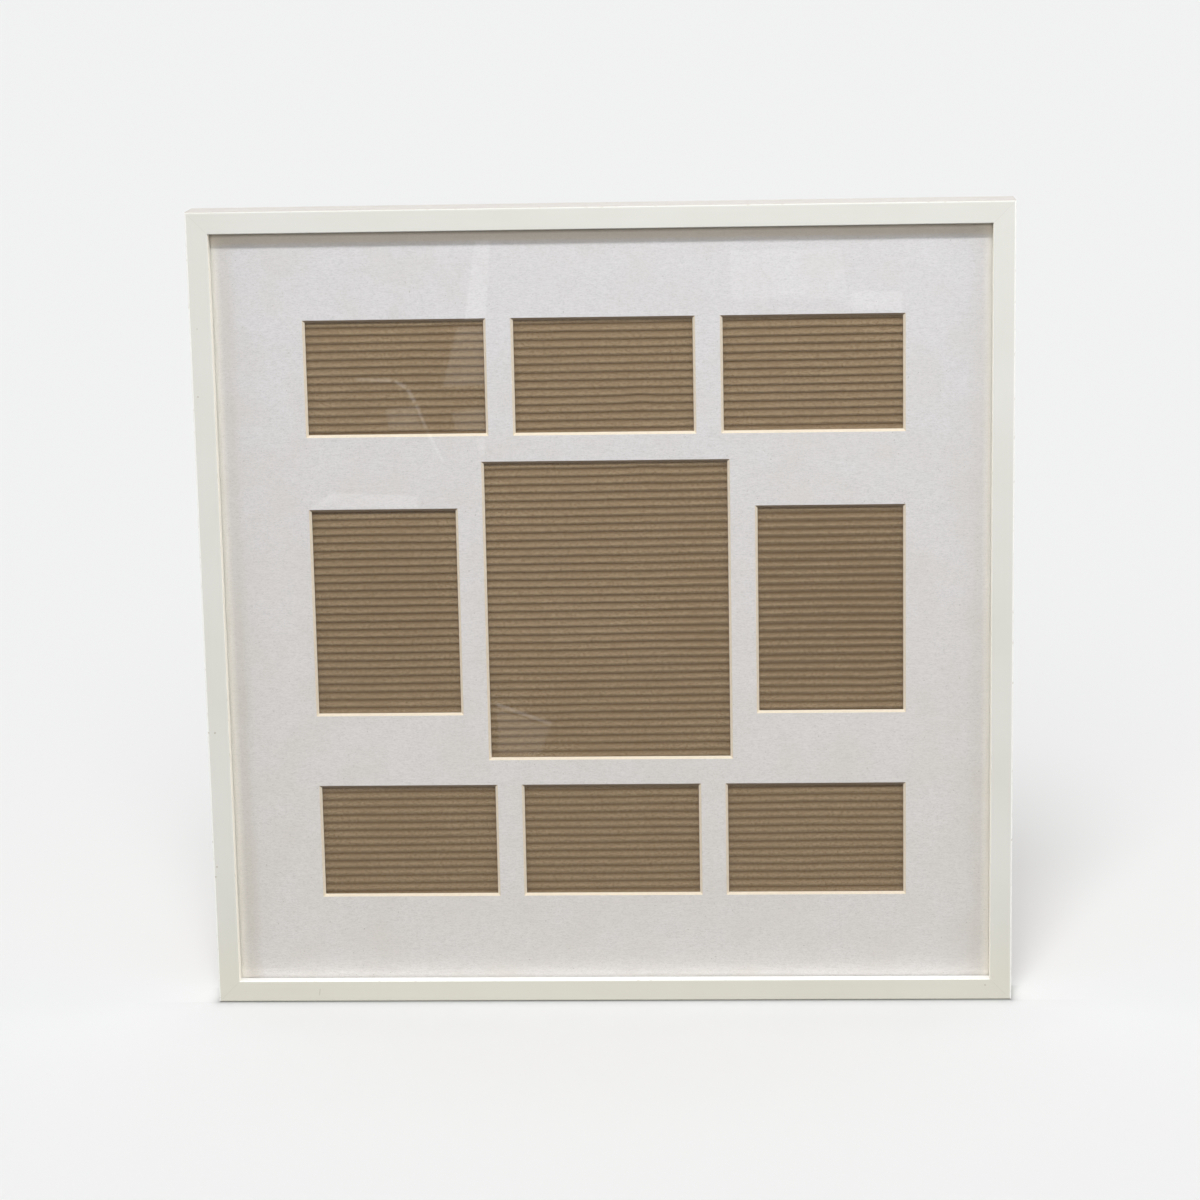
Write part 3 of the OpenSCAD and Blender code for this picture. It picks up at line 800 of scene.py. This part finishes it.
def corrugated_board():
    """Ribbed paper in front of a flat liner, as one closed sheet whose rows follow the ribs."""
    made = bmesh.new()
    # Weight of the painted shade in the valleys
    valley = made.verts.layers.float.new("valley")
    valley_y, back_y = ribs_low.y + VALLEY_DEPTH, ribs_high.y
    xs = [ribs_low.x + (ribs_high.x - ribs_low.x) * i / COLUMNS for i in range(COLUMNS + 1)]
    first = math.ceil((ribs_low.z + END_FLAT - VALLEY_Z) / RIB_PITCH)
    last = math.floor((ribs_high.z - END_FLAT - VALLEY_Z) / RIB_PITCH)
    grid = [[made.verts.new((x, valley_y, ribs_low.z)) for x in xs]]
    for rib in range(first, last + 1):
        foot = VALLEY_Z + rib * RIB_PITCH
        for turn in RIB_ROWS if rib < last else (0,):
            line = []
            for x in xs:
                z = foot + turn * RIB_PITCH
                along, height, tall = rib_point(x, z, turn)
                z = foot + along * RIB_PITCH + RIB_TILT * x + rib_shift(x, z)
                y = valley_y - min(height * tall * MM, TALLEST_RIB)
                vert = made.verts.new((x, y, z))
                vert[valley] = (1 - height) ** 2
                line.append(vert)
            grid.append(line)
    grid.append([made.verts.new((x, valley_y, ribs_high.z)) for x in xs])
    for low, high in zip(grid, grid[1:]):
        for i in range(COLUMNS):
            made.faces.new((low[i], low[i + 1], high[i + 1], high[i]))
    edges = [
        [made.verts.new((line[end].co.x, back_y, line[end].co.z)) for line in grid]
        for end in (0, -1)
    ]
    for j in range(len(grid) - 1):
        made.faces.new((grid[j][0], grid[j + 1][0], edges[0][j + 1], edges[0][j]))
        made.faces.new((grid[j][-1], edges[1][j], edges[1][j + 1], grid[j + 1][-1]))
        made.faces.new((edges[0][j], edges[0][j + 1], edges[1][j + 1], edges[1][j]))
    made.faces.new([*grid[0], edges[1][0], edges[0][0]])
    made.faces.new([*reversed(grid[-1]), edges[0][-1], edges[1][-1]])
    return make_piece("ribbed_board", made, "frame", [KRAFT], ["corrugated_sheet"])


corrugated_board()


# ---- Boards and fittings that stay as they are in the solids ----

dress(["top_spacer", "bottom_spacer"], WOOD_ACROSS)
dress(["left_spacer", "right_spacer"], WOOD_UPRIGHT)
dress(["backing_board"], BOARD)
dress(["corner_nails"], NAIL_STEEL)
dress(["button_screws", "strap_screws"], SCREW_STEEL)
dress(["left_strap", "right_strap", "left_ring", "right_ring"], HANGER_STEEL)
dress(["wall_bumpers"], RUBBER)
buttons = [
    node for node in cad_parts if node.startswith("button_") and node != "button_screws"
]
dress(buttons, BUTTON_STEEL)
for node in buttons:
    soften(node, 0.2 * MM)
for node in ("left_strap", "right_strap"):
    soften(node, 0.15 * MM)
for node in ("button_screws", "strap_screws"):
    soften(node, 0.12 * MM)
soften("wall_bumpers", 0.35 * MM)


# ---- Floor, light and camera ----


def seen_directly(surface):
    """1 for camera rays and for what shows in metal and glass, 0 for light that bounces."""
    path = surface.node("ShaderNodeLightPath").outputs
    seen = surface.math("MAXIMUM", path["Is Camera Ray"], path["Is Glossy Ray"])
    return surface.math("MAXIMUM", seen, path["Is Transmission Ray"])


FLOOR_TONE = srgb(241, 242, 243)
# How bright the white front of the frame is beside the open floor, on which it throws light
FRONT_SHARE = 0.21
# Shade on the floor close round the foot of the frame, where little light gets under its edges
CONTACT_SHADE = 0.5
CONTACT_REACH = 4 * MM
FLOOR_HALF = 40.0
FLOOR_BELOW = 0.05 * MM
# Gloss of the bottom length on the floor before it: its share at the frame, and how far it reaches
GLOSS_SHARE = 0.105
GLOSS_REACH = 72 * MM


def thrown_light(s, x, y):
    """Share of the view from the floor at x, y that the front of the frame fills.

    The front is taken as two upright panels as high as the frame that meet straight behind x.
    """
    nearest = 0.4 * MM
    off = s.math("MAXIMUM", s.math("SUBTRACT", Y_FRONT, y), nearest)
    slant = s.math("SQRT", s.math("ADD", s.math("POWER", off, 2.0), OUTER**2))
    total = 0.0
    for side in (1, -1):
        width = s.math("ADD", s.math("MULTIPLY", x, side), OUTER / 2)
        near = s.math("ARCTANGENT", s.math("DIVIDE", width, off))
        far = s.math("ARCTANGENT", s.math("DIVIDE", width, slant))
        part = s.math("SUBTRACT", near, s.math("MULTIPLY", s.math("DIVIDE", off, slant), far))
        total = s.math("ADD", total, part)
    in_front = s.math("MULTIPLY", s.math("GREATER_THAN", Y_FRONT, y), 0.5 / math.pi)
    return s.math("MULTIPLY", s.math("MAXIMUM", total, 0.0), in_front)


def thrown_gloss(s, x, y):
    """Light that the glossy paint of the bottom length throws on the floor just before it."""
    off = s.math("DIVIDE", s.math("SUBTRACT", Y_FRONT, y), GLOSS_REACH)
    fall = s.math("EXPONENT", s.math("MULTIPLY", s.math("MULTIPLY", off, off), -1.0))
    spread = s.math("SUBTRACT", OUTER / 2 + GLOSS_REACH, s.math("ABSOLUTE", x))
    spread = s.math("DIVIDE", spread, 2 * GLOSS_REACH, clamp=True)
    in_front = s.math("MULTIPLY", s.math("GREATER_THAN", Y_FRONT, y), GLOSS_SHARE)
    return s.math("MULTIPLY", s.math("MULTIPLY", fall, spread), in_front)


def pale_floor():
    """Pale floor that looks evenly lit: its colour takes back the light that the frame throws."""
    s = Surface("studio_floor")
    x, y, _ = s.parts(s.place)
    gain = s.math("ADD", s.math("MULTIPLY", thrown_light(s, x, y), FRONT_SHARE), 1.0)
    gain = s.math("ADD", gain, thrown_gloss(s, x, y))
    before = s.math("SUBTRACT", Y_FRONT, y)
    before = s.math("MAXIMUM", before, s.math("SUBTRACT", y, Y_BACK))
    before = s.math("MAXIMUM", before, 0.0)
    beside = s.math("MAXIMUM", s.math("SUBTRACT", s.math("ABSOLUTE", x), OUTER / 2), 0.0)
    near = s.math("EXPONENT", s.math("DIVIDE", s.math("ADD", before, beside), -CONTACT_REACH))
    lit = s.math("SUBTRACT", 1.0, s.math("MULTIPLY", near, CONTACT_SHADE))
    tone = s.mix(s.math("DIVIDE", lit, gain), (0, 0, 0, 1), FLOOR_TONE)
    colour = s.mix(seen_directly(s), srgb(110, 110, 110), tone)
    return s.finish(s.node("ShaderNodeBsdfDiffuse", {"Color": colour}).outputs[0])


def make_floor():
    made = bmesh.new()
    corners = ((-1, -1), (1, -1), (1, 1), (-1, 1))
    made.faces.new([made.verts.new((x * FLOOR_HALF, y * FLOOR_HALF, 0)) for x, y in corners])
    mesh = bpy.data.meshes.new("floor")
    made.to_mesh(mesh)
    made.free()
    mesh.materials.append(pale_floor())
    floor = bpy.data.objects.new("floor", mesh)
    floor.location.z = -FLOOR_BELOW
    scene.collection.objects.link(floor)
    floor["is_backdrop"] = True
    return floor


def make_world(ambient):
    world = bpy.data.worlds.new("studio")
    world.use_nodes = True
    tree = world.node_tree
    tree.nodes.clear()
    path = tree.nodes.new("ShaderNodeLightPath").outputs
    seen = tree.nodes.new("ShaderNodeMath")
    seen.operation = "MAXIMUM"
    tree.links.new(path["Is Camera Ray"], seen.inputs[0])
    tree.links.new(path["Is Glossy Ray"], seen.inputs[1])
    shown = tree.nodes.new("ShaderNodeBackground")
    shown.inputs["Color"].default_value = srgb(242, 242, 242)
    light = tree.nodes.new("ShaderNodeBackground")
    light.inputs["Color"].default_value = (ambient, 0.975 * ambient, 0.93 * ambient, 1)
    both = tree.nodes.new("ShaderNodeMixShader")
    tree.links.new(seen.outputs[0], both.inputs[0])
    tree.links.new(light.outputs[0], both.inputs[1])
    tree.links.new(shown.outputs[0], both.inputs[2])
    output = tree.nodes.new("ShaderNodeOutputWorld")
    tree.links.new(both.outputs[0], output.inputs["Surface"])
    scene.world = world


def aimed_from(lamp, name, azimuth, elevation):
    """Adds a lamp that shines at the frame: azimuth 0 is ahead of it, positive to its right."""
    up, round_z = math.radians(elevation), math.radians(azimuth)
    towards = Vector(
        (math.sin(round_z) * math.cos(up), -math.cos(round_z) * math.cos(up), math.sin(up))
    )
    made = bpy.data.objects.new(name, lamp)
    made.rotation_mode = "QUATERNION"
    made.rotation_quaternion = towards.to_track_quat("Z", "Y")
    scene.collection.objects.link(made)
    return made, towards


def make_sun(name, azimuth, elevation, strength, spread, colour):
    lamp = bpy.data.lights.new(name, "SUN")
    lamp.energy = strength
    lamp.angle = math.radians(spread)
    lamp.color = colour
    return aimed_from(lamp, name, azimuth, elevation)[0]


def only_for(lamp, pieces):
    """Lets a lamp light these pieces alone."""
    lit = bpy.data.collections.new(f"{lamp.name}_lights")
    for piece in pieces:
        lit.objects.link(piece)
    lamp.light_linking.receiver_collection = lit


# The overhead strip: slope of its light seen from ahead, and the azimuths of its parts
KEY_SLOPE = 1.19
KEY_AZIMUTHS = (-54, -36, -18, 0, 18, 36, 54)
WARM, WHITE, COOL = (1.0, 0.95, 0.87), (1.0, 1.0, 1.0), (0.88, 0.94, 1.0)
AMBIENT = 0.2


def make_lights(floor):
    """A long strip overhead in narrow parts, low fills all round, a cool glow above the top.

    The pieces and the floor have suns of their own, each as azimuth, elevation, strength, spread.
    """
    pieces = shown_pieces()
    for azimuth in KEY_AZIMUTHS:
        elevation = math.degrees(math.atan(KEY_SLOPE * math.cos(math.radians(azimuth))))
        only_for(make_sun(f"key_{azimuth}", azimuth, elevation, 0.33, 5, WHITE), pieces)
    only_for(make_sun("fill", 0, 7, 0.50, 22, WARM), pieces)
    for side in (-1, 1):
        only_for(make_sun(f"side_fill_{side}", side * 72, 6, 0.5, 14, WARM), pieces)
        only_for(make_sun(f"edge_fill_{side}", side * 86, 8, 0.8, 6, WHITE), pieces)
        only_for(make_sun(f"back_fill_{side}", side * 145, 12, 1.2, 20, WHITE), pieces)
    only_for(make_sun("floor_key", -3, 50, 1.6, 25, WHITE), [floor])
    only_for(make_sun("floor_fill", 0, 32, 1.25, 36, WHITE), [floor])
    only_for(make_sun("floor_top", 0, 90, 0.63, 50, WHITE), [floor])
    lamp = bpy.data.lights.new("top_glow", "AREA")
    lamp.shape = "RECTANGLE"
    lamp.size, lamp.size_y = 1.2, 0.3
    lamp.energy = 3.2
    lamp.color = COOL
    glow, towards = aimed_from(lamp, "top_glow", 0, 45)
    glow.location = Vector((0.3, Y_FRONT, outer_high.z)) + towards * 0.9
    only_for(glow, pieces)


def make_camera():
    """The photograph's viewpoint, fitted to the corners of the frame and of its nine windows."""
    right = Vector((0.998734, 0.046488, -0.019209))
    down = Vector((-0.009090, -0.208798, -0.977917))
    forward = Vector((-0.049472, 0.976853, -0.208111))
    camera = bpy.data.objects.new("camera", bpy.data.cameras.new("camera"))
    axes = Matrix((right, -down, -forward)).transposed()
    camera.matrix_world = Matrix.Translation((0.1297, -2.6632, 0.9050)) @ axes.to_4x4()
    camera.data.lens = 100.13
    camera.data.sensor_width = 36
    camera.data.clip_end = 200
    scene.collection.objects.link(camera)
    scene.camera = camera


make_world(AMBIENT)
make_lights(make_floor())
make_camera()
